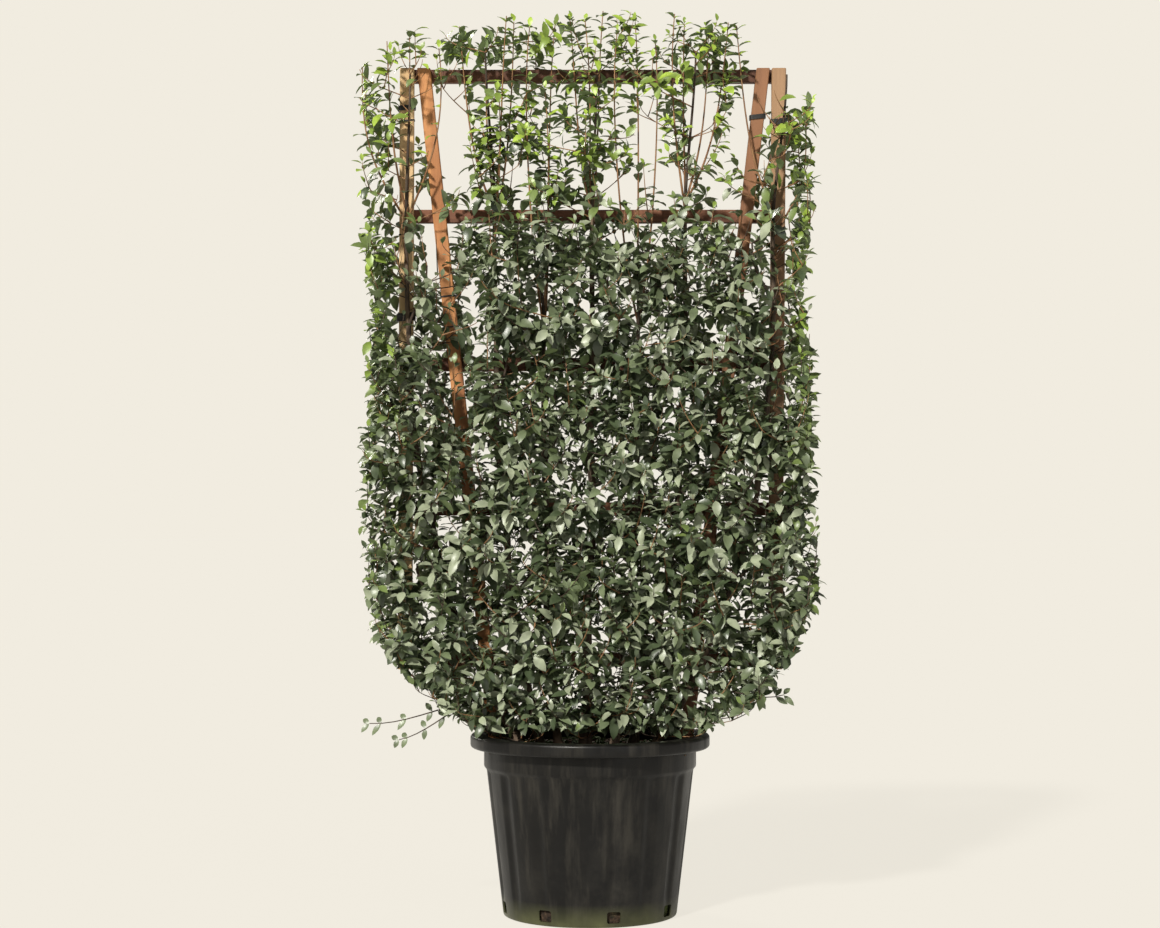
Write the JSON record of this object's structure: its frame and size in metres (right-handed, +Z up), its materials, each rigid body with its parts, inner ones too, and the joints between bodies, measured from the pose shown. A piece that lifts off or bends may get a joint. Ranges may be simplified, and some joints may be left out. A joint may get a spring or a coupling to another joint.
{
  "type": "potted burkwood osmanthus espalier",
  "caption": "Evergreen osmanthus shrub trained flat on a wooden frame, growing in a round black nursery pot that stands on its flat underside.",
  "frame": {"origin": "middle of the pot's flat underside, on the surface that it stands on", "axes": "+Z up the pot's axis, -Y towards the front of the flat espalier, +X to its right"},
  "size_m": [0.907, 0.4768, 1.7881],
  "materials": {
    "pot_plastic": "dusty semi-gloss black nursery plastic",
    "soil": "dark moist potting soil with litter and moss",
    "frame_wood": "sawn reddish-brown stained softwood",
    "bark": "thin grey-brown bark",
    "leaves": "small glossy dark green leaves"
  },
  "bodies": {
    "root": {"foliage_1_left": "leaves", "foliage_1_middle": "leaves", "foliage_1_right": "leaves", "foliage_2_far_left": "leaves", "foliage_2_far_right": "leaves", "foliage_2_left": "leaves", "foliage_2_right": "leaves", "foliage_3_left": "leaves", "foliage_3_middle": "leaves", "foliage_3_right": "leaves", "foliage_4_far_left": "leaves", "foliage_4_far_right": "leaves", "foliage_4_left": "leaves", "foliage_4_right": "leaves", "foliage_5_far_left": "leaves", "foliage_5_far_right": "leaves", "foliage_5_left": "leaves", "foliage_5_right": "leaves", "foliage_6_far_left": "leaves", "foliage_6_far_right": "leaves", "foliage_6_left": "leaves", "foliage_6_middle": "leaves", "foliage_6_right": "leaves", "post_left": "frame_wood", "post_right": "frame_wood", "pot": "pot_plastic", "rail_1": "frame_wood", "rail_2": "frame_wood", "rail_3": "frame_wood", "rail_4": "frame_wood", "rail_5": "frame_wood", "slat_left": "frame_wood", "slat_right": "frame_wood", "soil": "soil", "stem_centre": "bark", "stem_far_left": "bark", "stem_far_right": "bark", "stem_left": "bark", "stem_mid_left": "bark", "stem_mid_right": "bark", "stem_right": "bark"}
  },
  "joints": []
}
